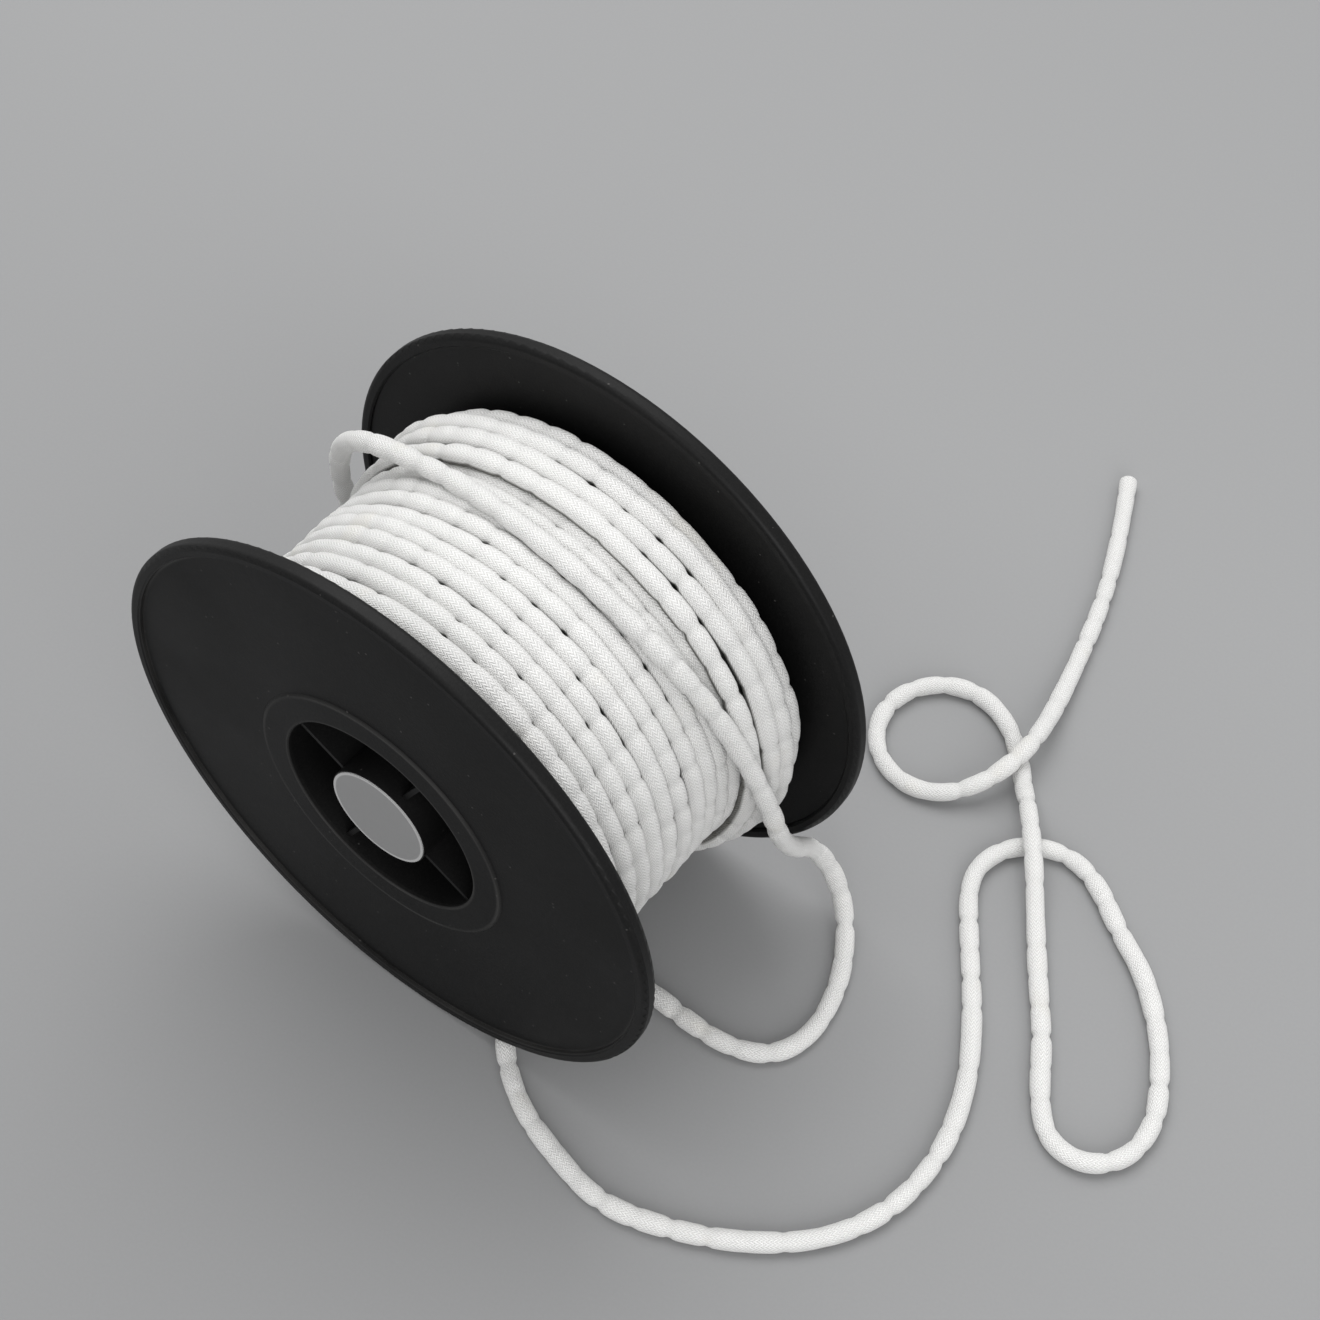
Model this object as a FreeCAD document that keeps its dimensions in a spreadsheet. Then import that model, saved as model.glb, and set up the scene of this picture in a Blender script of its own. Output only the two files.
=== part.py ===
import FreeCAD, Part
import Sketcher
import math
import os

# Cord reel: a two-piece moulded spool that holds a winding of braided, weighted cord.
# Millimetres, +Z up, origin on the floor midway between the flanges, which stand on their rims.
# The spool's axis is level along Y, with the labelled front flange facing -Y.

vector = FreeCAD.Vector
document = FreeCAD.newDocument("CordReel")
sheet = document.addObject("Spreadsheet::Sheet", "Sizes")

# Driving dimensions

dimensions = [
    # Flanges
    ("flangeRadius", 100.0),
    ("rimSpacing", 103.5),
    ("rimThickness", 5.5),
    ("rimBand", 4.0),
    ("rimRound", 1.7),
    ("rimStepBevel", 0.6),
    ("webThickness", 2.8),
    ("webOutward", 1.2),
    # Raised ring of the front half and turned groove of the rear half
    ("ringRadius", 46.0),
    ("ringHeight", 0.7),
    ("ringEase", 0.6),
    ("grooveWidth", 1.1),
    ("grooveDepth", 0.7),
    # Hollow barrel that the cord is wound on, drafted to leave the mould
    ("hubOpening", 36.0),
    ("openingBevel", 0.4),
    ("barrelWall", 2.8),
    ("barrelDraft", 0.6),
    ("barrelRoot", 2.0),
    # Spindle tube and the ribs that carry it
    ("boreRadius", 15.0),
    ("tubeRadius", 17.8),
    ("mouthBevel", 0.6),
    ("ribThickness", 1.6),
    ("ribSetback", 2.5),
    ("ribOverlap", 1.0),
    ("ribCount", 4.0),
    ("ribAngle", 58.0),
    # Spigots of the front half in the sockets of the rear half
    ("spigotLength", 6.0),
    ("spigotWall", 1.2),
    ("fitGap", 0.15),
    # Round label on the spindle tube's front end
    ("labelRadius", 17.4),
    ("labelThickness", 0.4),
    # Cord and winding: the winding swells where the last turns pile up
    ("cordDiameter", 6.5),
    ("cordSides", 6.0),
    ("turnCount", 13.0),
    ("lastTurn", 46.5),
    ("lastAngle", -150.0),
    ("windingRadius", 75.5),
    ("swellHeight", 8.5),
    ("swellPlace", 24.0),
    ("swellSpread", 26.0),
    ("coreGap", 0.3),
    ("coreSide", 50.0),
    ("leadOff", 32.0),
]
for row, (alias, value) in enumerate(dimensions, start=1):
    sheet.set(f"A{row}", alias)
    sheet.set(f"B{row}", str(value))
    sheet.setAlias(f"B{row}", alias)
document.recompute()


class Length:
    # A number together with the sheet expression that it comes from

    def __init__(self, text, value):
        self.text = text
        self.value = value

    def __add__(self, other):
        return Length(f"({self.text} + {textOf(other)})", self.value + valueOf(other))

    def __sub__(self, other):
        return Length(f"({self.text} - {textOf(other)})", self.value - valueOf(other))

    def __mul__(self, other):
        return Length(f"({self.text} * {textOf(other)})", self.value * valueOf(other))

    def __truediv__(self, other):
        return Length(f"({self.text} / {textOf(other)})", self.value / valueOf(other))


def textOf(number):
    return number.text if isinstance(number, Length) else str(number)


def valueOf(number):
    return number.value if isinstance(number, Length) else number


size = {alias: float(sheet.get(alias)) for alias, _ in dimensions}
cell = {alias: Length(f"Sizes.{alias}", size[alias]) for alias in size}

# Heights in a half's own frame: z is 0 at mid-width and grows towards the outside of the flange
webOuter = cell["rimSpacing"] / 2 + cell["webOutward"]
webInner = webOuter - cell["webThickness"]
rimOuter = cell["rimSpacing"] / 2 + cell["rimThickness"] / 2
rimInner = cell["rimSpacing"] / 2 - cell["rimThickness"] / 2
ringFace = webOuter + cell["ringHeight"]

# Radii of the flange's rim and of the barrel at mid-width and at the flange
rimRoot = cell["flangeRadius"] - cell["rimBand"]
barrelInner = cell["hubOpening"] - cell["barrelDraft"]
barrelMid = barrelInner + cell["barrelWall"]
barrelEnd = cell["hubOpening"] + cell["barrelWall"]
zero = Length("0", 0.0)


# Sketches and features bound to the sheet

def attachedSketch(body, name, role):
    plane = [item for item in body.Origin.OriginFeatures if item.Role == role][0]
    sketch = body.newObject("Sketcher::SketchObject", name)
    sketch.AttachmentSupport = [(plane, "")]
    sketch.MapMode = "FlatFace"
    return sketch


def bind(sketch, kind, places, measure):
    index = sketch.addConstraint(Sketcher.Constraint(kind, *places, measure.value))
    sketch.setExpression(f"Constraints[{index}]", measure.text)


def polygon(sketch, corners):
    points = [vector(x.value, y.value, 0) for x, y in corners]
    following = points[1:] + points[:1]
    for start, end in zip(points, following):
        sketch.addGeometry(Part.LineSegment(start, end), False)
    count = len(points)
    for index in range(count):
        sketch.addConstraint(Sketcher.Constraint("Coincident", index, 2, (index + 1) % count, 1))
    for index, (x, y) in enumerate(corners):
        bind(sketch, "DistanceX", (-1, 1, index, 1), x)
        bind(sketch, "DistanceY", (-1, 1, index, 1), y)


def revolution(body, name, corners):
    sketch = attachedSketch(body, name + "Sketch", "XZ_Plane")
    polygon(sketch, corners)
    feature = body.newObject("PartDesign::Revolution", name)
    feature.Profile = sketch
    feature.ReferenceAxis = (sketch, ["V_Axis"])
    feature.Angle = 360.0
    return feature


def ringFeature(body, kind, name, radii, depth, reverse=False):
    # Pad or pocket between circles about the spool's axis, from mid-width
    sketch = attachedSketch(body, name + "Sketch", "XY_Plane")
    for radius in radii:
        outline = Part.Circle(vector(0, 0, 0), vector(0, 0, 1), radius.value)
        index = sketch.addGeometry(outline, False)
        sketch.addConstraint(Sketcher.Constraint("Coincident", index, 3, -1, 1))
        bind(sketch, "Radius", (index,), radius)
    feature = body.newObject(kind, name)
    feature.Profile = sketch
    feature.Reversed = reverse
    feature.setExpression("Length", depth.text)
    document.recompute()
    return feature


def edgesAt(shape, places):
    # Names of the round edges at the given radii and heights
    near = 1e-4
    names = []
    for index, edge in enumerate(shape.Edges, start=1):
        if edge.Curve.TypeId != "Part::GeomCircle":
            continue
        for radius, height in places:
            radiusMatches = abs(edge.Curve.Radius - radius.value) < near
            if radiusMatches and abs(edge.Curve.Center.z - height.value) < near:
                names.append(f"Edge{index}")
    return names


def roundEdges(body, base, name, places, radius):
    feature = body.newObject("PartDesign::Fillet", name)
    feature.Base = (base, edgesAt(base.Shape, places))
    feature.setExpression("Radius", radius.text)
    document.recompute()
    return feature


def bevelEdges(body, base, name, places, width):
    feature = body.newObject("PartDesign::Chamfer", name)
    feature.Base = (base, edgesAt(base.Shape, places))
    feature.setExpression("Size", width.text)
    document.recompute()
    return feature


def socket(body, base, name, radii):
    # Pocket from mid-width for a spigot of the other half
    depth = cell["spigotLength"] + cell["fitGap"] * 2
    feature = ringFeature(body, "PartDesign::Pocket", name, radii, depth, True)
    least = 500
    removed = base.Shape.Volume - feature.Shape.Volume
    if removed < least:
        raise RuntimeError(f"{name} cut only {removed:.1f} mm3")
    return feature


# One half of the spool: flange, half of the barrel, four ribs and half of the spindle tube

def flangeOutline(isFront):
    face = ringFace if isFront else webOuter
    outline = [
        (barrelInner, zero),
        (barrelMid, zero),
        (barrelEnd, webInner),
        (rimRoot, webInner),
        (rimRoot, rimInner),
        (cell["flangeRadius"], rimInner),
        (cell["flangeRadius"], rimOuter),
        (rimRoot, rimOuter),
        (rimRoot, webOuter),
    ]
    if isFront:
        outline.append((cell["ringRadius"] + cell["ringEase"], webOuter))
        outline.append((cell["ringRadius"], ringFace))
    else:
        outline.append((cell["ringRadius"] + cell["grooveWidth"], webOuter))
        outline.append((cell["ringRadius"] + cell["grooveWidth"] / 2, webOuter - cell["grooveDepth"]))
        outline.append((cell["ringRadius"], webOuter))
    outline.append((cell["hubOpening"], face))
    return outline


def spoolHalf(label, isFront):
    body = document.addObject("PartDesign::Body", label)
    body.Label = label
    face = ringFace if isFront else webOuter
    shell = revolution(body, "Shell", flangeOutline(isFront))
    document.recompute()
    rimEdges = [(cell["flangeRadius"], rimInner), (cell["flangeRadius"], rimOuter)]
    rim = roundEdges(body, shell, "RimEdges", rimEdges, cell["rimRound"])
    stepEdges = [(rimRoot, rimInner), (rimRoot, rimOuter)]
    step = bevelEdges(body, rim, "RimStep", stepEdges, cell["rimStepBevel"])
    root = bevelEdges(body, step, "BarrelRoot", [(barrelEnd, webInner)], cell["barrelRoot"])
    bevelEdges(body, root, "OpeningLip", [(cell["hubOpening"], face)], cell["openingBevel"])

    ribSketch = attachedSketch(body, "RibSketch", "XY_Plane")
    near = cell["boreRadius"] + cell["ribOverlap"]
    far = cell["hubOpening"] + cell["ribOverlap"]
    side = cell["ribThickness"] / 2
    polygon(ribSketch, [(near, zero - side), (far, zero - side), (far, side), (near, side)])
    rib = body.newObject("PartDesign::Pad", "Rib")
    rib.Profile = ribSketch
    rib.setExpression("Length", (face - cell["ribSetback"]).text)
    document.recompute()
    ribs = body.newObject("PartDesign::PolarPattern", "Ribs")
    ribs.Originals = [rib]
    ribs.Axis = (ribSketch, ["N_Axis"])
    ribs.Angle = 360.0
    ribs.setExpression("Occurrences", "Sizes.ribCount")
    body.Tip = ribs
    document.recompute()
    tubeRadii = [cell["tubeRadius"], cell["boreRadius"]]
    tube = ringFeature(body, "PartDesign::Pad", "SpindleTube", tubeRadii, face)

    if isFront:
        barrelRadii = [barrelInner + cell["spigotWall"], barrelInner]
        ringFeature(body, "PartDesign::Pad", "BarrelSpigot", barrelRadii, cell["spigotLength"], True)
        boreRadii = [cell["boreRadius"] + cell["spigotWall"], cell["boreRadius"]]
        ringFeature(body, "PartDesign::Pad", "TubeSpigot", boreRadii, cell["spigotLength"], True)
    else:
        play = cell["spigotWall"] + cell["fitGap"]
        barrelRadii = [barrelInner + play, barrelInner - cell["fitGap"]]
        barrelSocket = socket(body, tube, "BarrelSocket", barrelRadii)
        tubeSocket = socket(body, barrelSocket, "TubeSocket", [cell["boreRadius"] + play])
        bevelEdges(body, tubeSocket, "BoreMouth", [(cell["boreRadius"], face)], cell["mouthBevel"])
    # The half's own z turns to face outwards, and its ribs to their angle about the spool's axis
    outward = 90 if isFront else -90
    ribTurn = size["ribAngle"] if isFront else -size["ribAngle"]
    tilt = FreeCAD.Rotation(vector(1, 0, 0), outward)
    spin = FreeCAD.Rotation(vector(0, 0, 1), ribTurn)
    body.Placement = FreeCAD.Placement(vector(0, 0, size["flangeRadius"]), tilt.multiply(spin))
    return body


# Label: a thin disc glued to the end of the spindle tube

def hubLabel():
    body = document.addObject("PartDesign::Body", "hub_label")
    body.Label = "hub_label"
    ringFeature(body, "PartDesign::Pad", "Disc", [cell["labelRadius"]], cell["labelThickness"])
    place = vector(0, -ringFace.value, size["flangeRadius"])
    body.Placement = FreeCAD.Placement(place, FreeCAD.Rotation(vector(1, 0, 0), 90))
    return body


# Inner layers, which nothing shows, as one solid between the barrel and the last turns

def windingCore():
    body = document.addObject("PartDesign::Body", "winding_core")
    body.Label = "winding_core"
    reach = cell["cordDiameter"] + cell["coreGap"]
    spaces = 8
    outline = []
    for index in range(spaces + 1):
        place = cell["coreSide"] * (2 * index / spaces - 1)
        offset = (place - cell["swellPlace"]) / cell["swellSpread"]
        bell = Length(f"exp(-1 * {offset.text} * {offset.text})", math.exp(-offset.value ** 2))
        outline.append((cell["windingRadius"] + cell["swellHeight"] * bell - reach, place))
    corner = cell["coreSide"] - cell["barrelRoot"]
    seat = barrelEnd + cell["fitGap"]
    outline += [
        (seat + cell["barrelRoot"], cell["coreSide"]),
        (seat, corner),
        (barrelMid + cell["fitGap"], zero),
        (seat, zero - corner),
        (seat + cell["barrelRoot"], zero - cell["coreSide"]),
    ]
    revolution(body, "InnerLayers", outline)
    # The body's z runs along the spool's axis, towards the rear flange
    place = vector(0, 0, size["flangeRadius"])
    body.Placement = FreeCAD.Placement(place, FreeCAD.Rotation(vector(1, 0, 0), -90))
    return body


# Cord: a faceted tube along straight runs, arcs and biarcs

def arcTo(start, apex, end):
    # Arc tangent to start-apex and apex-end, whose two legs are equally long
    middle = (start + end) / 2
    half = (end - start).Length / 2
    leg = (apex - start).Length
    turned = 2 * math.acos(min(1.0, half / leg))
    crown = middle + (apex - middle).normalize() * (half * math.tan(turned / 4))
    return Part.Arc(start, crown, end).toShape()


def line(start, end):
    return Part.LineSegment(start, end).toShape()


def biarc(start, startTangent, end, endTangent):
    # Two arcs that leave and arrive along the given tangents
    chord = end - start
    along = chord.dot(startTangent + endTangent)
    spread = 2 * (1 - startTangent.dot(endTangent))
    leg = (math.sqrt(along * along + spread * chord.dot(chord)) - along) / spread
    first = start + startTangent * leg
    last = end - endTangent * leg
    joint = (first + last) / 2
    return [arcTo(start, first, joint), arcTo(joint, last, end)]


def leastGap(path, apart):
    # Least gap between stretches of the tube that lie further apart than this along the cord
    spacing = 1.5
    points = path.discretize(Number=int(path.Length / spacing))
    side = size["cordDiameter"] + 1
    grid = {}
    for index, point in enumerate(points):
        key = tuple(int(value // side) for value in point)
        grid.setdefault(key, []).append(index)
    least = side
    steps = (-1, 0, 1)
    for (x, y, z), members in grid.items():
        cells = [(x + a, y + b, z + c) for a in steps for b in steps for c in steps]
        near = [index for key in cells for index in grid.get(key, [])]
        for one in members:
            for other in near:
                if other - one > apart / spacing:
                    least = min(least, (points[one] - points[other]).Length)
    return least - size["cordDiameter"]


def cordTube(label, edges, start, direction, apart):
    path = Part.Wire(edges)
    sides = int(size["cordSides"])
    radius = size["cordDiameter"] / 2
    across = direction.cross(vector(0, 1, 0)).normalize() * radius
    corners = []
    for index in range(sides + 1):
        turn = FreeCAD.Rotation(direction, 360 * (index + 0.5) / sides)
        corners.append(start + turn.multVec(across))
    section = Part.makePolygon(corners)
    tube = path.makePipeShell([section], True, False)
    area = 0.5 * sides * radius * radius * math.sin(2 * math.pi / sides)
    expected = area * path.Length
    if abs(tube.Volume / expected - 1) > 0.01:
        raise RuntimeError(f"{label} holds {tube.Volume:.0f} mm3, not {expected:.0f}")
    print(f"{label}: {path.Length:.0f} mm of cord, least gap to itself {leastGap(path, apart):.2f} mm")
    feature = document.addObject("Part::Feature", label)
    feature.Label = label
    feature.Shape = tube
    feature.Placement = FreeCAD.Placement()
    return feature


# Outer layer of the winding: one helical turn after another, its radius following the swell

def helixPoint(angle):
    # The angle about the axis, from straight up towards +X, grows along the cord
    total = 360 * size["turnCount"]
    place = size["lastTurn"] * (1 - 2 * (size["lastAngle"] - angle) / total)
    offset = (place - size["swellPlace"]) / size["swellSpread"]
    outer = size["windingRadius"] + size["swellHeight"] * math.exp(-offset * offset)
    radius = outer - size["cordDiameter"] / 2
    turned = math.radians(angle)
    return vector(radius * math.sin(turned), place, size["flangeRadius"] + radius * math.cos(turned))


def helixTangent(angle):
    step = 0.01
    return (helixPoint(angle + step) - helixPoint(angle - step)).normalize()


def outerTurns():
    span = 90
    end = size["lastAngle"]
    start = end - 360 * size["turnCount"]
    count = round((end - start) / span)
    angles = [start + span * index for index in range(count + 1)]
    straight = size["cordDiameter"]
    entry = helixPoint(start) - helixTangent(start) * straight
    edges = [line(entry, helixPoint(start))]
    for here, there in zip(angles, angles[1:]):
        edges += biarc(helixPoint(here), helixTangent(here), helixPoint(there), helixTangent(there))
    edges.append(line(helixPoint(end), helixPoint(end) + helixTangent(end) * straight))
    return cordTube("outer_turns", edges, entry, helixTangent(start), 100)


# Loose end of the cord: round over the winding from the last turn, out past the rear rim,
# under the front rim and over the floor. These points are the corners of its route.

looseRoute = [
    (-90.5, 33, 92), (-85.5, 25.5, 131), (-65, 16.5, 163), (-30.5, 8.5, 183), (10.5, 2.5, 187),
    (49, 4, 172.5), (76.5, 8.5, 144), (90, 13, 109.5), (88.5, 22.5, 79), (86, 37, 53),
    (84.5, 50.5, 38.5), (91, 57, 24), (99.5, 56, 9.5), (109, 45.5, 3.6), (116, 31, 3.3),
    (118.5, 12, 3.3), (112, -2.5, 3.3), (98, -9, 3.3), (82, -9.5, 3.3), (64, -8, 3.3),
    (46, -10, 3.3), (33, -21.5, 3.3), (30.5, -39, 3.3), (41, -54, 3.3), (58, -66, 3.3),
    (75, -71.5, 3.3), (97.5, -76.5, 3.3), (119, -70.5, 3.3), (140.5, -60, 3.3), (159, -45, 3.3),
    (170.5, -24.5, 3.3), (173, 0, 3.3), (167, 25, 3.3), (154.5, 48, 3.3), (139, 70, 3.3),
    (124.5, 91.5, 3.3), (125.5, 106, 3.3), (134.5, 117, 3.3), (148, 121, 3.3), (161, 116.5, 3.3),
    (175.5, 105, 3.3), (191, 95.5, 3.3), (205.5, 79.5, 3.3), (214.5, 64.5, 3.3), (220.5, 50, 3.3),
    (219.5, 35, 3.3), (209.5, 25, 3.3), (196, 25.5, 3.3), (186.5, 36.5, 3.3), (176.5, 55, 3.3),
    (163, 74, 3.3), (149.5, 94, 5), (140.5, 106.5, 11), (127.5, 124, 11), (119.5, 134.5, 5.5),
    (112.5, 144.5, 3.3), (101, 155.5, 3.3), (86.5, 161, 3.3), (72, 157, 3.3), (62.5, 144.5, 3.3),
    (62, 129, 3.3), (70.5, 116, 3.3), (85, 110.5, 3.3), (99, 114.5, 4.5), (108.5, 124.5, 8.5),
    (113, 137, 11), (114, 152, 11), (110.5, 172, 5), (105, 198.5, 3.3), (99, 223.5, 3.3),
    (91.5, 245.5, 3.3), (82, 269, 3.3), (75.5, 283.5, 3.3),
]


def looseCord():
    away = helixTangent(size["lastAngle"])
    start = helixPoint(size["lastAngle"]) + away * size["cordDiameter"]
    points = [start, start + away * size["leadOff"]] + [vector(*point) for point in looseRoute]
    edges = []
    radii = []
    here = start
    for before, corner, after in zip(points, points[1:], points[2:]):
        back = before - corner
        ahead = after - corner
        turned = math.pi - back.getAngle(ahead)
        cut = 0.45 * min(back.Length, ahead.Length)
        radii.append(cut / math.tan(turned / 2))
        arcStart = corner + back.normalize() * cut
        arcEnd = corner + ahead.normalize() * cut
        edges += [line(here, arcStart), arcTo(arcStart, corner, arcEnd)]
        here = arcEnd
    edges.append(line(here, points[-1]))
    print("loose_cord radii:", " ".join(f"{radius:.0f}" for radius in radii))
    return cordTube("loose_cord", edges, start, away, 30)


pieces = [
    spoolHalf("front_half", True),
    spoolHalf("rear_half", False),
    hubLabel(),
    windingCore(),
    outerTurns(),
    looseCord(),
]
document.recompute()

# Checks and export

for item in document.Objects:
    if "Invalid" in item.State or "Error" in item.State:
        raise RuntimeError(f"{item.Name} failed: {item.State}")
for piece in pieces:
    shape = piece.Shape
    if shape.isNull() or not shape.isValid() or len(shape.Solids) != 1:
        raise RuntimeError(f"{piece.Label} is not one valid solid")
    print(f"{piece.Label}: {shape.Volume / 1000:.1f} cm3")
os.makedirs("parts", exist_ok=True)
for piece in pieces:
    piece.Shape.exportStep(f"parts/{piece.Label}.step")
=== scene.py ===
import bpy
import math
import numpy as np
from mathutils import Matrix, Vector


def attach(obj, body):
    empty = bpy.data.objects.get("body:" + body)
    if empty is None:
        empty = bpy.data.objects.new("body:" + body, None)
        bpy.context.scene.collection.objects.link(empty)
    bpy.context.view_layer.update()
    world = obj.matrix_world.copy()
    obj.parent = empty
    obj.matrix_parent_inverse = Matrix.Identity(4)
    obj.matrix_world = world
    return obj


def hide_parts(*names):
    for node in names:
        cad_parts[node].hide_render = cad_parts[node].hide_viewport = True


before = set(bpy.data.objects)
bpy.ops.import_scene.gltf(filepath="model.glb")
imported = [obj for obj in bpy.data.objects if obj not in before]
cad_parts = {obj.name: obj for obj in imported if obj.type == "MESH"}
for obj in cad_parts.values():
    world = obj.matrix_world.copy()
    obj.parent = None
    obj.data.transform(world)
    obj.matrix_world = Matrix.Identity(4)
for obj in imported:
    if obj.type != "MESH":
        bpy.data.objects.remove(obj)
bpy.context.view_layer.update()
print("frame loaded:", ", ".join(sorted(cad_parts)))

axisHeight = 0.1  # the spool's axis over the floor, along y


# Meshes from numpy grids

def gridMesh(name, points, uvs):
    # points is rings x sides x 3, closed round each ring; uvs is rings x (sides + 1) x 2
    rings, sides = points.shape[:2]
    index = np.arange(rings * sides).reshape(rings, sides)
    following = np.roll(index, -1, axis=1)
    quads = np.stack([index[:-1], following[:-1], following[1:], index[1:]], axis=-1).reshape(-1, 4)
    mesh = bpy.data.meshes.new(name)
    mesh.from_pydata(points.reshape(-1, 3).tolist(), [], quads.tolist())
    layer = mesh.uv_layers.new(name="AlongAround")
    corners = np.stack([uvs[:-1, :-1], uvs[:-1, 1:], uvs[1:, 1:], uvs[1:, :-1]], axis=2)
    layer.data.foreach_set("uv", corners.reshape(-1).astype(np.float32))
    mesh.polygons.foreach_set("use_smooth", np.ones(len(quads), bool))
    mesh.update()
    piece = bpy.data.objects.new(name, mesh)
    bpy.context.collection.objects.link(piece)
    return piece


def addPiece(piece, material, node):
    piece.data.materials.append(material)
    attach(piece, "root")
    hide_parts(node)


# Camera, at the photograph's place; columns are right, up and back

camera = {
    "place": (0.28718, -0.29148, 0.64396),
    "right": (0.79285, 0.60942, 0.0),
    "up": (-0.48149, 0.62642, 0.61299),
    "lens": 60.51,
}


def addCamera(settings):
    data = bpy.data.cameras.new("Camera")
    data.lens = settings["lens"]
    data.sensor_width = 36
    item = bpy.data.objects.new("Camera", data)
    right = Vector(settings["right"]).normalized()
    up = Vector(settings["up"]).normalized()
    turn = Matrix((right, up, right.cross(up))).transposed().to_4x4()
    item.matrix_world = Matrix.Translation(settings["place"]) @ turn
    bpy.context.collection.objects.link(item)
    bpy.context.scene.camera = item


addCamera(camera)


# Shader helpers

def addNode(tree, kind, inputs=None, **settings):
    # inputs maps a socket's name or number to a value or to another node's output
    node = tree.nodes.new(kind)
    for key, value in settings.items():
        setattr(node, key, value)
    for key, value in (inputs or {}).items():
        if isinstance(value, bpy.types.NodeSocket):
            tree.links.new(value, node.inputs[key])
        else:
            node.inputs[key].default_value = value
    return node


def math2(tree, operation, first, second=0.0):
    return addNode(tree, "ShaderNodeMath", {0: first, 1: second}, operation=operation).outputs[0]


def ramp(tree, value, low, high, first=0.0, second=1.0):
    # Straight map of value from low..high to first..second, held at its ends
    inputs = {"Value": value, "From Min": low, "From Max": high, "To Min": first, "To Max": second}
    return addNode(tree, "ShaderNodeMapRange", inputs).outputs["Result"]


def mixColour(tree, factor, first, second):
    node = addNode(tree, "ShaderNodeMix", {"Factor": factor}, data_type="RGBA")
    for socket, value in ((node.inputs[6], first), (node.inputs[7], second)):
        if isinstance(value, bpy.types.NodeSocket):
            tree.links.new(value, socket)
        else:
            socket.default_value = (*value, 1)
    return node.outputs[2]


def newGroup(name, inputs, outputs):
    tree = bpy.data.node_groups.new(name, "ShaderNodeTree")
    for label, kind in inputs:
        tree.interface.new_socket(label, in_out="INPUT", socket_type=kind)
    for label, kind in outputs:
        tree.interface.new_socket(label, in_out="OUTPUT", socket_type=kind)
    return tree, tree.nodes.new("NodeGroupInput").outputs, tree.nodes.new("NodeGroupOutput").inputs


def useGroup(tree, group, inputs):
    node = tree.nodes.new("ShaderNodeGroup")
    node.node_tree = group
    for key, value in inputs.items():
        if isinstance(value, bpy.types.NodeSocket):
            tree.links.new(value, node.inputs[key])
        else:
            node.inputs[key].default_value = value
    return node.outputs


def newMaterial(name, roughness):
    material = bpy.data.materials.new(name)
    material.use_nodes = True
    tree = material.node_tree
    surface = tree.nodes["Principled BSDF"]
    surface.inputs["Roughness"].default_value = roughness
    return material, tree, surface


def fromAxis(tree, place):
    # The place's parts counted from the spool's axis, and its distance from that axis
    centred = addNode(tree, "ShaderNodeMapping", {"Vector": place, "Location": (0, 0, -axisHeight)})
    parts = addNode(tree, "ShaderNodeSeparateXYZ", {0: centred.outputs[0]}).outputs
    squares = [math2(tree, "MULTIPLY", parts[axis], parts[axis]) for axis in ("X", "Z")]
    return parts, math2(tree, "SQRT", math2(tree, "ADD", *squares))


# Braid: two families of strands, ridges where a and b are half-way between whole numbers,
# a = along / pitch + strands * around and b = along / pitch - strands * around. Their stitches
# lie on top in turn round the cord, by the sign of sin(pi * strands * around), in rows along it.

def makeBraidGroup():
    sockets = [("Along", "NodeSocketFloat"), ("Around", "NodeSocketFloat")]
    sockets += [("Pitch", "NodeSocketFloat"), ("Strands", "NodeSocketFloat")]
    tree, given, result = newGroup("braid", sockets, [("Height", "NodeSocketFloat")])
    advance = math2(tree, "DIVIDE", given["Along"], given["Pitch"])
    wrap = math2(tree, "MULTIPLY", given["Around"], given["Strands"])
    waves = []
    for operation in ("ADD", "SUBTRACT"):
        phase = math2(tree, "MULTIPLY", math2(tree, operation, advance, wrap), math.pi)
        waves.append(math2(tree, "SINE", phase))
    row = math2(tree, "SINE", math2(tree, "MULTIPLY", wrap, math.pi))
    heights = []
    for wave, low, high in ((waves[0], 0.3, 1.0), (waves[1], 1.0, 0.3)):
        lift = ramp(tree, row, -0.4, 0.4, low, high)
        heights.append(math2(tree, "MULTIPLY", math2(tree, "ABSOLUTE", wave), lift))
    tree.links.new(math2(tree, "MAXIMUM", *heights), result["Height"])
    return tree


# Wear: soft blotches and sparse bright specks of dust, from a place on the surface

def makeWearGroup():
    sockets = [("Vector", "NodeSocketVector"), ("Blotch Scale", "NodeSocketFloat")]
    sockets += [("Speck Scale", "NodeSocketFloat"), ("Speck Size", "NodeSocketFloat")]
    outputs = [("Blotch", "NodeSocketFloat"), ("Specks", "NodeSocketFloat")]
    tree, given, result = newGroup("wear", sockets, outputs)
    noiseInputs = {"Vector": given["Vector"], "Scale": given["Blotch Scale"], "Detail": 5.0}
    blotch = addNode(tree, "ShaderNodeTexNoise", noiseInputs)
    tree.links.new(ramp(tree, blotch.outputs["Fac"], 0.3, 0.7), result["Blotch"])
    cellInputs = {"Vector": given["Vector"], "Scale": given["Speck Scale"]}
    cells = addNode(tree, "ShaderNodeTexVoronoi", cellInputs)
    chosen = addNode(tree, "ShaderNodeSeparateColor", {"Color": cells.outputs["Color"]}).outputs["Red"]
    near = math2(tree, "LESS_THAN", cells.outputs["Distance"], given["Speck Size"])
    some = math2(tree, "GREATER_THAN", chosen, 0.86)
    tree.links.new(math2(tree, "MULTIPLY", near, some), result["Specks"])
    return tree


braidGroup = makeBraidGroup()
wearGroup = makeWearGroup()


# Cord: white braid, greyer between the strands with painted shade, and warmer in the hollows

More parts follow.
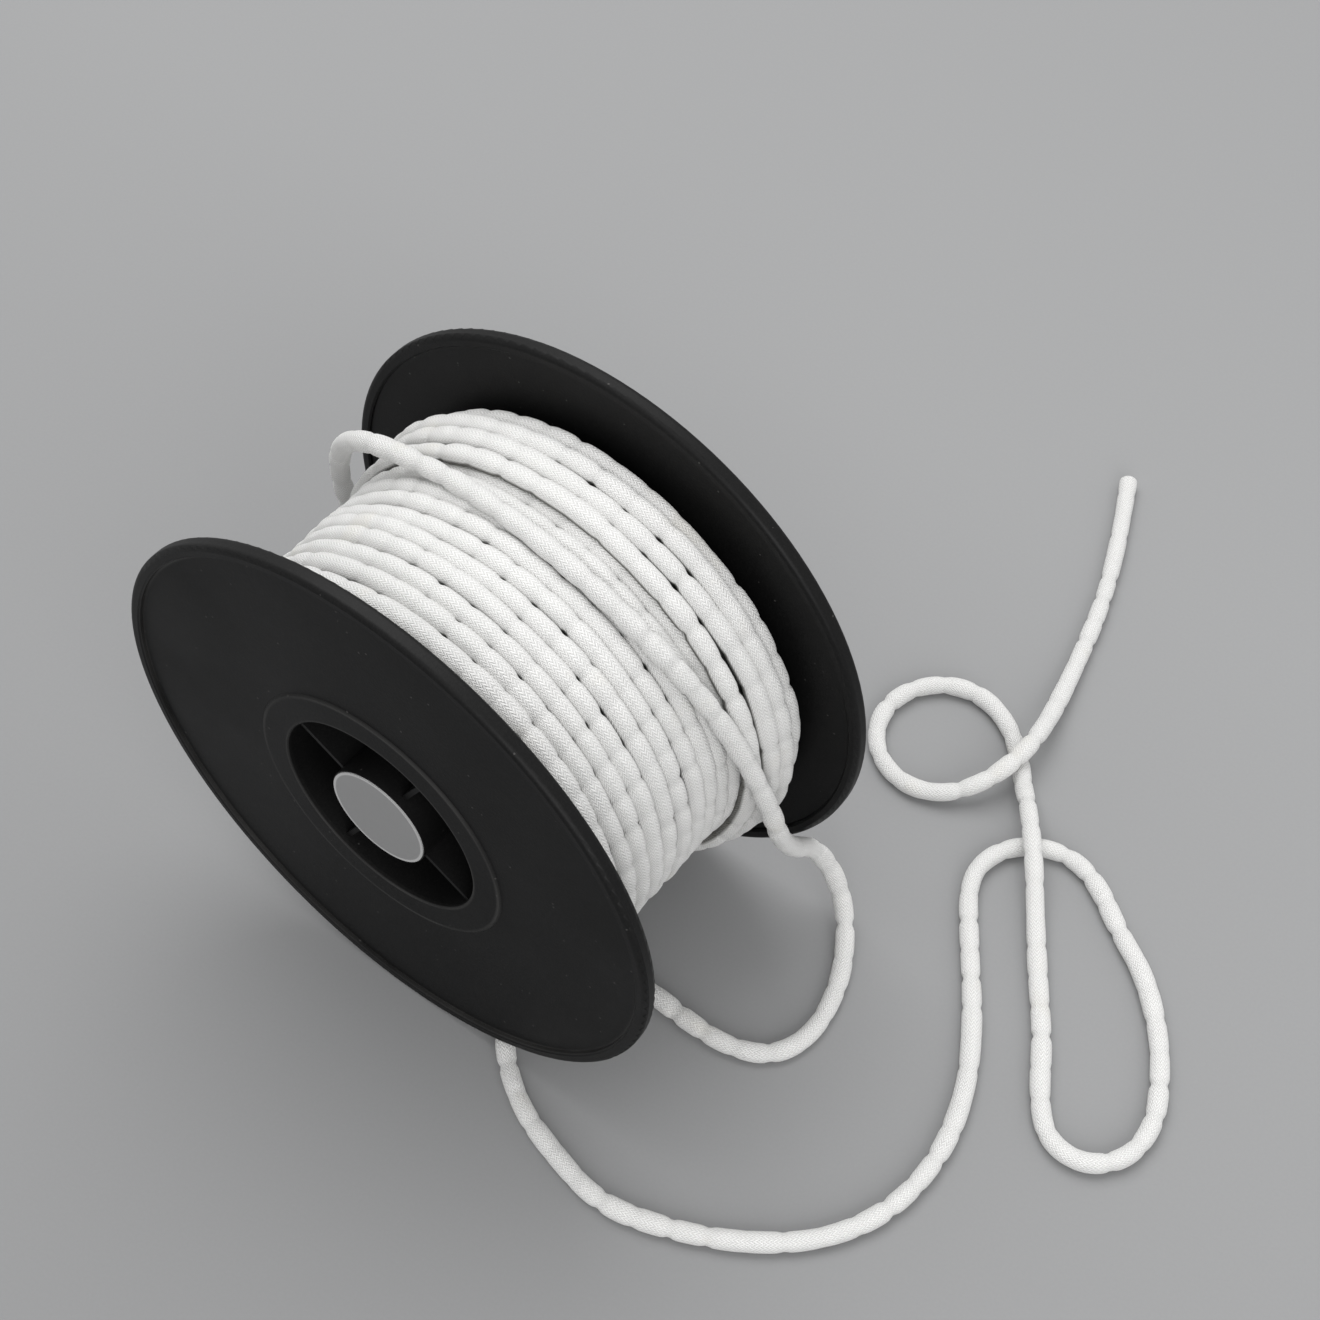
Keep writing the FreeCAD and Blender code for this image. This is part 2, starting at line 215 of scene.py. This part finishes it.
cordLook = {
    "pitch": 0.0014,
    "strands": 26.0,
    "light": (0.91, 0.908, 0.896),
    "valleyShade": (0.7, 0.695, 0.68),
    "stain": (0.78, 0.74, 0.63),
    # painted shade for the crevices between turns and the layer beneath
    "creviceShade": (0.11, 0.108, 0.095),
    "relief": 0.0005,
    "lumps": 190.0,
}


def makeCordMaterial(name, look, wound):
    # On wound cord the sides that lie against the next turn, and all below them, are darkened with painted
    # shade
    material, tree, surface = newMaterial(name, 0.82)
    surface.inputs["Sheen Weight"].default_value = 0.25
    surface.inputs["Sheen Roughness"].default_value = 0.5
    surface.inputs["Specular IOR Level"].default_value = 0.3
    place = addNode(tree, "ShaderNodeTexCoord").outputs["Object"]
    uv = addNode(tree, "ShaderNodeUVMap", uv_map="AlongAround").outputs["UV"]
    split = addNode(tree, "ShaderNodeSeparateXYZ", {0: uv}).outputs
    braid = useGroup(tree, braidGroup, {
        "Along": split["X"],
        "Around": split["Y"],
        "Pitch": look["pitch"],
        "Strands": look["strands"],
    })["Height"]
    wear = useGroup(tree, wearGroup, {
        "Vector": place,
        "Blotch Scale": 38.0,
        "Speck Scale": 260.0,
        "Speck Size": 0.2,
    })
    # Painted shade between the braid's strands, darker where the braid is low
    clean = mixColour(tree, ramp(tree, braid, 0.1, 0.8), look["valleyShade"], look["light"])
    tone = mixColour(tree, ramp(tree, wear["Blotch"], 0.8, 1.0, 0.0, 0.22), clean, look["stain"])
    # Painted shade in the crevices: the sides against the next turn and all below them turn dark
    if wound:
        upward = math2(tree, "SINE", math2(tree, "MULTIPLY", split["Y"], 2 * math.pi))
        tone = mixColour(tree, ramp(tree, upward, 0.1, -0.2), tone, look["creviceShade"])
    tree.links.new(tone, surface.inputs["Base Color"])
    tree.links.new(ramp(tree, braid, 0.0, 1.0, 0.95, 0.72), surface.inputs["Roughness"])
    fuzz = addNode(tree, "ShaderNodeTexNoise", {"Vector": place, "Scale": 2600.0, "Detail": 2.0})
    lumps = addNode(tree, "ShaderNodeTexNoise", {"Vector": place, "Scale": look["lumps"]})
    height = math2(tree, "ADD", braid, math2(tree, "MULTIPLY", fuzz.outputs["Fac"], 0.5))
    height = math2(tree, "ADD", height, math2(tree, "MULTIPLY", lumps.outputs["Fac"], 2.2))
    bump = addNode(tree, "ShaderNodeBump", {"Height": height, "Strength": 0.75, "Distance": look["relief"]})
    tree.links.new(bump.outputs["Normal"], surface.inputs["Normal"])
    return material


looseMaterial = makeCordMaterial("looseCord", cordLook, False)
woundMaterial = makeCordMaterial("woundCord", cordLook, True)


# Spool plastic: satin black with a fine grain, faint flow lines out from the hub and a little dust.
# The rim band beyond bandRadius is a little smoother. On the front face the edges of the raised
# ring, of the opening and of the rim's inner step carry a painted highlight, uneven in blotches.

plasticLook = {
    "dark": (0.0035, 0.0035, 0.0036),
    "worn": (0.0095, 0.0093, 0.009),
    "dust": (0.1, 0.097, 0.093),
    "bandRadius": 0.0945,
    # painted highlight colour for the front face's edges
    "edgeHighlight": (0.06, 0.059, 0.057),
    "edges": ((0.0457, 0.0009), (0.0365, 0.0006), (0.0957, 0.0007)),  # radius and reach of each
    "facePlace": -0.0522,
}


def makePlasticMaterial(look):
    material, tree, surface = newMaterial("spoolPlastic", 0.5)
    surface.inputs["Specular IOR Level"].default_value = 0.2
    place = addNode(tree, "ShaderNodeTexCoord").outputs["Object"]
    parts, radius = fromAxis(tree, place)
    angle = math2(tree, "ARCTAN2", parts["Z"], parts["X"])
    polar = addNode(tree, "ShaderNodeCombineXYZ", {
        0: math2(tree, "MULTIPLY", radius, 22.0),
        1: math2(tree, "MULTIPLY", angle, 26.0),
        2: math2(tree, "MULTIPLY", parts["Y"], 10.0),
    }).outputs[0]
    flow = addNode(tree, "ShaderNodeTexNoise", {"Vector": polar, "Scale": 1.0, "Detail": 4.0}).outputs["Fac"]
    wearInputs = {"Vector": place, "Blotch Scale": 24.0, "Speck Scale": 330.0, "Speck Size": 0.11}
    wear = useGroup(tree, wearGroup, wearInputs)
    grainInputs = {"Vector": place, "Scale": 1500.0, "Detail": 3.0}
    grain = addNode(tree, "ShaderNodeTexNoise", grainInputs).outputs["Fac"]
    streaks = math2(tree, "MULTIPLY", ramp(tree, flow, 0.45, 0.75), wear["Blotch"])
    streaks = math2(tree, "MULTIPLY", streaks, 0.15)
    scuffed = math2(tree, "ADD", streaks, ramp(tree, grain, 0.45, 0.75, 0.0, 0.6))
    tone = mixColour(tree, scuffed, look["dark"], look["worn"])
    highlightMask = 0.0
    # Painted highlight on the front face's edges: the raised ring, the opening and the rim's inner step
    for edge, reach in look["edges"]:
        offset = math2(tree, "ABSOLUTE", math2(tree, "SUBTRACT", radius, edge))
        highlightMask = math2(tree, "MAXIMUM", highlightMask, ramp(tree, offset, 0.0002, reach, 0.55, 0.0))
    front = math2(tree, "LESS_THAN", parts["Y"], look["facePlace"])
    highlightMask = math2(tree, "MULTIPLY", highlightMask, front)
    uneven = ramp(tree, wear["Blotch"], 0.1, 0.8, 0.25, 1.0)
    tone = mixColour(tree, math2(tree, "MULTIPLY", highlightMask, uneven), tone, look["edgeHighlight"])
    dusty = math2(tree, "MULTIPLY", wear["Specks"], 0.5)
    tree.links.new(mixColour(tree, dusty, tone, look["dust"]), surface.inputs["Base Color"])
    satin = ramp(tree, wear["Blotch"], 0.0, 1.0, 0.5, 0.58)
    smooth = ramp(tree, radius, look["bandRadius"], look["bandRadius"] + 0.001, 0.0, -0.05)
    tree.links.new(math2(tree, "ADD", satin, smooth), surface.inputs["Roughness"])
    relief = math2(tree, "ADD", grain, math2(tree, "MULTIPLY", flow, 0.15))
    bump = addNode(tree, "ShaderNodeBump", {"Height": relief, "Strength": 0.3, "Distance": 0.0002})
    tree.links.new(bump.outputs["Normal"], surface.inputs["Normal"])
    return material


plasticMaterial = makePlasticMaterial(plasticLook)
for name in ("front_half", "rear_half"):
    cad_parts[name].data.materials.clear()
    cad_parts[name].data.materials.append(plasticMaterial)


# Label: plain grey film, paler at its trimmed edge

labelLook = {
    "film": (0.265, 0.265, 0.267),
    "edge": (0.5, 0.5, 0.5),
    "edgeRadius": 0.0164,
    "smudge": (0.3, 0.3, 0.3),
}


def makeLabelMaterial(look):
    material, tree, surface = newMaterial("labelFilm", 0.42)
    place = addNode(tree, "ShaderNodeTexCoord").outputs["Object"]
    radius = fromAxis(tree, place)[1]
    wearInputs = {"Vector": place, "Blotch Scale": 90.0, "Speck Scale": 500.0, "Speck Size": 0.2}
    wear = useGroup(tree, wearGroup, wearInputs)
    fibreInputs = {"Vector": place, "Scale": 1800.0, "Detail": 2.0}
    fibre = addNode(tree, "ShaderNodeTexNoise", fibreInputs).outputs["Fac"]
    edge = ramp(tree, radius, look["edgeRadius"], look["edgeRadius"] + 0.0003)
    tone = mixColour(tree, edge, look["film"], look["edge"])
    shade = math2(tree, "MULTIPLY", wear["Blotch"], 0.12)
    tree.links.new(mixColour(tree, shade, tone, look["smudge"]), surface.inputs["Base Color"])
    tree.links.new(ramp(tree, wear["Blotch"], 0.0, 1.0, 0.38, 0.5), surface.inputs["Roughness"])
    bump = addNode(tree, "ShaderNodeBump", {"Height": fibre, "Strength": 0.3, "Distance": 0.0001})
    tree.links.new(bump.outputs["Normal"], surface.inputs["Normal"])
    return material


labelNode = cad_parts["hub_label"]
labelNode.data.materials.clear()
labelNode.data.materials.append(makeLabelMaterial(labelLook))
print("materials made")


# Cord tubes: rings across a centreline. The weights in the braid make beads with narrow waists
# between them: half width = plain - waist * exp(-(distance from the waist / reach)^2), and the
# height sinks there by hollow in the same way. Each ring is a superellipse, squarer by its power.

weights = {
    "spacing": 0.0113,
    "waist": 0.00065,
    "reach": 0.0013,
    "hollow": 0.0006,
    "hollowReach": 0.0023,
    "swell": 0.00009,
}


def cordRings(centre, normal, halfWide, halfHigh, sides, beads=None, power=2.0):
    # halfWide lies across the normal, halfHigh along it; beads counts the weights along the cord
    steps = np.linalg.norm(np.diff(centre, axis=0), axis=1)
    along = np.concatenate([[0.0], np.cumsum(steps)])
    if beads is None:
        beads = along / weights["spacing"] + 0.12 * np.sin(along / 0.047)
    tangent = np.gradient(centre, axis=0)
    tangent /= np.linalg.norm(tangent, axis=1, keepdims=True)
    normal = normal - tangent * np.sum(normal * tangent, axis=1, keepdims=True)
    normal /= np.linalg.norm(normal, axis=1, keepdims=True)
    side = np.cross(tangent, normal)
    number = np.round(beads)
    away = (beads - number) * weights["spacing"]
    depth = np.clip(0.6 + 0.35 * np.sin(2.4 * number) + 0.35 * np.sin(0.83 * number), 0.1, 1.2)
    waist = depth * weights["waist"] * np.exp(-(away / weights["reach"]) ** 2)
    hollow = (0.4 + 0.6 * depth) * weights["hollow"] * np.exp(-(away / weights["hollowReach"]) ** 2)
    uneven = weights["swell"] * (np.sin(along / 0.0061) + np.sin(along / 0.0227 + 2.0))
    turn = np.linspace(0, 2 * np.pi, sides, endpoint=False)
    across = np.sign(np.cos(turn)) * np.abs(np.cos(turn)) ** (2 / power)
    upward = np.sign(np.sin(turn)) * np.abs(np.sin(turn)) ** (2 / power)
    wide = (halfWide + uneven - waist)[:, None, None]
    high = (halfHigh + uneven - hollow)[:, None, None]
    points = centre[:, None, :] + side[:, None, :] * across[None, :, None] * wide
    points = points + normal[:, None, :] * upward[None, :, None] * high
    uvs = np.stack(np.meshgrid(along, np.linspace(0, 1, sides + 1), indexing="ij"), axis=-1)
    return points, uvs


def closeEnd(points, uvs, atStart, bulge):
    # Three rings that shrink to a small one, so that the end is a soft dome
    rim = points[0] if atStart else points[-1]
    inner = points[1] if atStart else points[-2]
    middle = rim.mean(axis=0)
    out = middle - inner.mean(axis=0)
    out = out / np.linalg.norm(out)
    scale = np.array([0.9, 0.66, 0.3, 0.02])[:, None, None]
    lift = np.array([0.35, 0.7, 0.94, 1.0])[:, None, None] * bulge
    rings = middle + (rim - middle)[None] * scale + out * lift
    lip = uvs[0:1] if atStart else uvs[-1:]
    extra = np.repeat(lip, 4, axis=0)
    if atStart:
        return np.concatenate([rings[::-1], points]), np.concatenate([extra, uvs])
    return np.concatenate([points, rings]), np.concatenate([uvs, extra])


# Winding: turns side by side, at these places across the spool on the camera's side, the last
# four one layer higher. Behind, each turn steps over to the next place, between the part leave
# of its round and the part settle of the next. The first of the high ones climbs by the steps of
# climb: part of its round, place across the spool, outer height.

winding = {
    "lowPlaces": (-0.0468, -0.0404, -0.0339, -0.0274, -0.0211, -0.0146, -0.0084, -0.0022,
                  0.0042, 0.0104, 0.0161, 0.0217),
    "lowHeight": 0.0757,
    "highPlaces": (0.0239, 0.0301, 0.0360, 0.0421),
    "highHeights": (0.0806, 0.0818, 0.0828, 0.0798),
    "climb": ((0.08, 0.0186, 0.0770), (0.2, 0.0204, 0.0795), (0.33, 0.0239, 0.0806)),
    "settle": 0.2,
    "leave": 0.78,
    "endAngle": -150.0,
    "end": (-0.0383, 0.0466, 0.0337),
    "heading": (-0.842, -0.011, 0.539),
    "straight": 0.0065,
    "halfWide": 0.00322,
    "halfHigh": 0.00305,
    "sides": 16,
    "beadsPerTurn": 40,
    "ringPlaces": (-0.42, -0.26, -0.15, -0.08, -0.03, 0.03, 0.08, 0.15, 0.26),
    "lean": 0.0016,
    "lift": 0.0028,
    "wander": 0.00022,
    "ripple": 0.00012,
}

innerTurns = {
    "count": 14,
    "startAngle": 0.4,
    "edgePlace": 0.0464,
    "drop": 0.0054,
    "step": 0.0056,
    "meanRadius": 0.07,
    "ringSpacing": 0.0035,
    "halfWide": 0.0037,
    "halfHigh": 0.0032,
    "sides": 10,
}


def layTurns(settings):
    # Place across the spool and outer height of every turn, as soft steps, against the turn count
    places = settings["lowPlaces"] + settings["highPlaces"]
    heights = (settings["lowHeight"],) * len(settings["lowPlaces"]) + settings["highHeights"]
    knots, marks, rises = [], [], []
    for turn, (place, height) in enumerate(zip(places, heights)):
        climbs = turn == len(settings["lowPlaces"])
        arrival = settings["climb"] if climbs else ((settings["settle"], place, height),)
        for part, across, outer in arrival + ((settings["leave"], place, height),):
            knots.append(turn + part)
            marks.append(across)
            rises.append(outer)
    knots.append(len(places))
    marks.append(settings["end"][1])
    rises.append(settings["highHeights"][-1])
    # Rings crowd together at the waists between the weights
    waists = np.arange(1, len(places) * settings["beadsPerTurn"])
    beads = (waists[:, None] + np.array(settings["ringPlaces"])).reshape(-1)
    turn = beads / settings["beadsPerTurn"]
    window = np.hanning(int(0.14 * len(turn) / len(places)) * 2 + 1)
    reach = len(window) // 2
    window = window / window.sum()
    soft = []
    for values in (marks, rises):
        padded = np.pad(np.interp(turn, knots, values), reach, "edge")
        soft.append(np.convolve(padded, window, "valid"))
    return beads, turn, *soft


def makeOuterTurns(settings):
    beads, turn, place, height = layTurns(settings)
    angle = math.radians(settings["endAngle"]) + 2 * np.pi * (turn - turn[-1])
    # The front turns lean a little, the high ones lie higher towards the right
    lean = np.clip((-place - 0.003) / 0.009, 0, 1) * np.clip((place + 0.047) / 0.012, 0, 1)
    place = place - settings["lean"] * lean * np.sin(angle - 0.35)
    lift = settings["lift"] * np.clip((place - 0.0185) / 0.012, 0, 1)
    height = height + lift * np.cos(angle - 1.75)
    free = np.clip(np.minimum(turn, turn[-1] - turn) / 0.5, 0, 1)
    wander, ripple = settings["wander"], settings["ripple"]
    sway = wander * np.sin(3 * angle + 2.6 * turn) + ripple * np.sin(11 * angle - 2.1 * turn)
    rise = wander * np.sin(4 * angle + 1.7 * turn) + ripple * np.sin(13 * angle + 0.9 * turn)
    place = place + free * sway
    height = height + free * rise
    out = np.stack([np.sin(angle), np.zeros_like(angle), np.cos(angle)], axis=-1)
    centre = out * (height - settings["halfHigh"])[:, None]
    centre[:, 1] = place
    centre[:, 2] += axisHeight
    # The last few rings run straight on to the point where the loose end starts
    last = np.array(settings["end"]) + np.array(settings["heading"]) * settings["straight"]
    blend = np.clip((turn - turn[-1]) / 0.12 + 1, 0, 1)[:, None] ** 2
    centre = centre * (1 - blend) + (centre + last - centre[-1]) * blend
    half = settings["halfWide"], settings["halfHigh"]
    points, uvs = cordRings(centre, out, *half, settings["sides"], beads, 2.5)
    points, uvs = closeEnd(points, uvs, True, 0.002)
    points, uvs = closeEnd(points, uvs, False, 0.0005)
    return gridMesh("outer_layer", points, uvs)


def makeInnerTurns(settings, lowHeight):
    # The layer below winds the other way; its rings face inwards, so that its side darkened with painted
    # shade shows
    span = 2 * np.pi * settings["count"]
    rings = int(span * settings["meanRadius"] / settings["ringSpacing"])
    angle = settings["startAngle"] - np.linspace(0, span, rings)
    place = np.linspace(-settings["edgePlace"], settings["edgePlace"], len(angle))
    step = np.clip((place - 0.021) / 0.006, 0, 1) * np.clip((0.047 - place) / 0.008, 0, 1)
    radius = lowHeight - settings["drop"] - settings["halfHigh"] + settings["step"] * step
    out = np.stack([np.sin(angle), np.zeros_like(angle), np.cos(angle)], axis=-1)
    centre = out * radius[:, None]
    centre[:, 1] = place
    centre[:, 2] += axisHeight
    half = settings["halfWide"], settings["halfHigh"]
    points, uvs = cordRings(centre, -out, *half, settings["sides"])
    points, uvs = closeEnd(points, uvs, True, 0.002)
    points, uvs = closeEnd(points, uvs, False, 0.002)
    return gridMesh("inner_layer", points, uvs)


addPiece(makeOuterTurns(winding), woundMaterial, "outer_turns")
innerLayer = makeInnerTurns(innerTurns, winding["lowHeight"])
addPiece(innerLayer, woundMaterial, "winding_core")
print("winding made")


# Loose end of the cord: its route's corners in metres, the control points of one smooth line.
# It leaves the last turn near the rear flange, goes round over the winding and on to the floor.

looseEnd = {
    "diameter": 0.0065,
    "length": 1.56,
    "leadOff": 0.032,
    "step": 0.001,
    "sides": 20,
}

looseRoute = [
    (-0.0905, 0.033, 0.092), (-0.0855, 0.0255, 0.131), (-0.065, 0.0165, 0.163),
    (-0.0231, 0.0127, 0.1755), (0.0055, 0.0089, 0.179), (0.0335, 0.0083, 0.1718), (0.056, 0.0106, 0.156),
    (0.0706, 0.0155, 0.1361), (0.0812, 0.0192, 0.1143), (0.0878, 0.022, 0.094), (0.0895, 0.026, 0.075),
    (0.087, 0.0385, 0.0525), (0.0857, 0.051, 0.0375), (0.0905, 0.0568, 0.023), (0.0985, 0.055, 0.0095),
    (0.107, 0.044, 0.0036), (0.1138, 0.0295, 0.0033), (0.1168, 0.0115, 0.0033), (0.1115, -0.0028, 0.0033),
    (0.098, -0.009, 0.0033),
    (0.082, -0.0095, 0.0033), (0.064, -0.008, 0.0033), (0.046, -0.01, 0.0033), (0.033, -0.0215, 0.0033),
    (0.0305, -0.039, 0.0033), (0.041, -0.054, 0.0033), (0.058, -0.066, 0.0033), (0.075, -0.0715, 0.0033),
    (0.0975, -0.0765, 0.0033), (0.119, -0.0705, 0.0033), (0.1405, -0.06, 0.0033), (0.159, -0.045, 0.0033),
    (0.1705, -0.0245, 0.0033), (0.173, 0.0, 0.0033), (0.167, 0.025, 0.0033), (0.1545, 0.048, 0.0033),
    (0.139, 0.07, 0.0033), (0.1245, 0.0915, 0.0033), (0.1255, 0.106, 0.0033), (0.1345, 0.117, 0.0033),
    (0.148, 0.121, 0.0033), (0.161, 0.1165, 0.0033), (0.1755, 0.105, 0.0033), (0.191, 0.0955, 0.0033),
    (0.2055, 0.0795, 0.0033), (0.2145, 0.0645, 0.0033), (0.2205, 0.05, 0.0033), (0.2195, 0.035, 0.0033),
    (0.2095, 0.025, 0.0033), (0.196, 0.0255, 0.0033), (0.1865, 0.0365, 0.0033), (0.1765, 0.055, 0.0033),
    (0.163, 0.074, 0.0033), (0.1495, 0.094, 0.005), (0.1405, 0.1065, 0.011), (0.1275, 0.124, 0.011),
    (0.1195, 0.1345, 0.0055), (0.1125, 0.1445, 0.0033), (0.101, 0.1555, 0.0033), (0.0865, 0.161, 0.0033),
    (0.072, 0.157, 0.0033), (0.0625, 0.1445, 0.0033), (0.062, 0.129, 0.0033), (0.0705, 0.116, 0.0033),
    (0.085, 0.1105, 0.0033), (0.099, 0.1145, 0.0045), (0.1085, 0.1245, 0.0085), (0.113, 0.137, 0.011),
    (0.114, 0.152, 0.011), (0.1105, 0.172, 0.005), (0.105, 0.1985, 0.0033), (0.099, 0.2235, 0.0033),
    (0.0915, 0.2455, 0.0033), (0.082, 0.269, 0.0033), (0.0755, 0.2835, 0.0033),
]


def smoothLine(route):
    # The NURBS line that has the route's corners as its control points, as an array of points
    curve = bpy.data.curves.new("route", "CURVE")
    curve.dimensions = "3D"
    curve.resolution_u = 24
    spline = curve.splines.new("NURBS")
    spline.points.add(len(route) - 1)
    spline.points.foreach_set("co", [number for point in route for number in (*point, 1.0)])
    spline.order_u = 3
    spline.use_endpoint_u = True
    carrier = bpy.data.objects.new("route", curve)
    bpy.context.collection.objects.link(carrier)
    mesh = bpy.data.meshes.new_from_object(carrier)
    points = np.zeros(len(mesh.vertices) * 3)
    mesh.vertices.foreach_get("co", points)
    bpy.data.objects.remove(carrier)
    bpy.data.meshes.remove(mesh)
    return points.reshape(-1, 3)


def evenly(points, step):
    distance = np.concatenate([[0.0], np.cumsum(np.linalg.norm(np.diff(points, axis=0), axis=1))])
    places = np.linspace(0, distance[-1], int(distance[-1] / step))
    return np.stack([np.interp(places, distance, points[:, axis]) for axis in range(3)], axis=-1)


def makeLooseEnd(settings):
    heading = np.array(winding["heading"])
    exit = np.array(winding["end"]) + heading * winding["straight"]
    route = [tuple(exit), tuple(exit + heading * settings["leadOff"]), *looseRoute]
    centre = evenly(smoothLine(route), settings["step"])
    # The rings' zero turns from along the spool's axis to straight up as the cord reaches the floor
    distance = np.linspace(0, 1, len(centre))
    down = np.clip((distance - 0.2) / 0.06, 0, 1)[:, None]
    normal = np.array([0.0, 1.0, 0.0]) * (1 - down) + np.array([0.0, 0.0, 1.0]) * down
    half = settings["diameter"] / 2
    points, uvs = cordRings(centre, normal, half, half, settings["sides"])
    points[..., 2] = np.maximum(points[..., 2], 0.0)
    points, uvs = closeEnd(points, uvs, False, 0.0012)
    points, uvs = closeEnd(points, uvs, True, 0.0005)
    piece = gridMesh("loose_end", points, uvs)
    addPiece(piece, looseMaterial, "loose_cord")
    length = float(np.linalg.norm(np.diff(centre, axis=0), axis=1).sum())
    print(f"loose end: {length:.3f} m, starts at", np.round(exit, 4).tolist())


makeLooseEnd(looseEnd)
print("loose end made")


# Floor and light

studio = {
    "floorColour": (0.318, 0.32, 0.324),
    "floorSide": 14.0,
    "frontShade": 0.82,
    "shadeSpan": (-0.3, 0.25),
    "skyStrength": 0.7,
    "keyPlace": (-0.45, 0.4, 1.6),
    "keySide": 1.4,
    "keyPower": 17.8,
    "fillPlace": (0.95, -0.7, 0.75),
    "fillSide": 0.9,
    "fillPower": 7.0,
}


def makeFloor(settings):
    half = settings["floorSide"] / 2
    corners = [(-half, -half, 0), (half, -half, 0), (half, half, 0), (-half, half, 0)]
    mesh = bpy.data.meshes.new("floor")
    mesh.from_pydata(corners, [], [(0, 1, 2, 3)])
    floor = bpy.data.objects.new("floor", mesh)
    bpy.context.collection.objects.link(floor)
    material, tree, surface = newMaterial("paperFloor", 0.8)
    surface.inputs["Specular IOR Level"].default_value = 0.2
    place = addNode(tree, "ShaderNodeTexCoord").outputs["Object"]
    noiseInputs = {"Vector": place, "Scale": 900.0, "Detail": 3.0}
    noise = addNode(tree, "ShaderNodeTexNoise", noiseInputs).outputs["Fac"]
    base = settings["floorColour"]
    dark = tuple(value * 0.97 for value in base)
    light = tuple(value * 1.03 for value in base)
    front = addNode(tree, "ShaderNodeSeparateXYZ", {0: place}).outputs["Y"]
    shade = ramp(tree, front, *settings["shadeSpan"], settings["frontShade"], 1.0)
    mottled = mixColour(tree, noise, dark, light)
    paper = addNode(tree, "ShaderNodeVectorMath", {0: mottled}, operation="SCALE")
    tree.links.new(shade, paper.inputs["Scale"])
    tree.links.new(paper.outputs[0], surface.inputs["Base Color"])
    mesh.materials.append(material)


def addArea(name, place, side, power, target=(0.05, 0.05, 0.05)):
    data = bpy.data.lights.new(name, "AREA")
    data.size = side
    data.energy = power
    lamp = bpy.data.objects.new(name, data)
    lamp.location = place
    heading = Vector(target) - Vector(place)
    lamp.rotation_euler = heading.to_track_quat("-Z", "Y").to_euler()
    bpy.context.collection.objects.link(lamp)


def makeStudio(settings):
    makeFloor(settings)
    addArea("key", settings["keyPlace"], settings["keySide"], settings["keyPower"])
    addArea("fill", settings["fillPlace"], settings["fillSide"], settings["fillPower"])
    world = bpy.data.worlds.new("studio")
    world.use_nodes = True
    sky = world.node_tree.nodes["Background"]
    sky.inputs["Color"].default_value = (1, 1, 1, 1)
    sky.inputs["Strength"].default_value = settings["skyStrength"]
    bpy.context.scene.world = world
    bpy.context.scene.view_settings.view_transform = "Standard"


makeStudio(studio)
print("studio made")
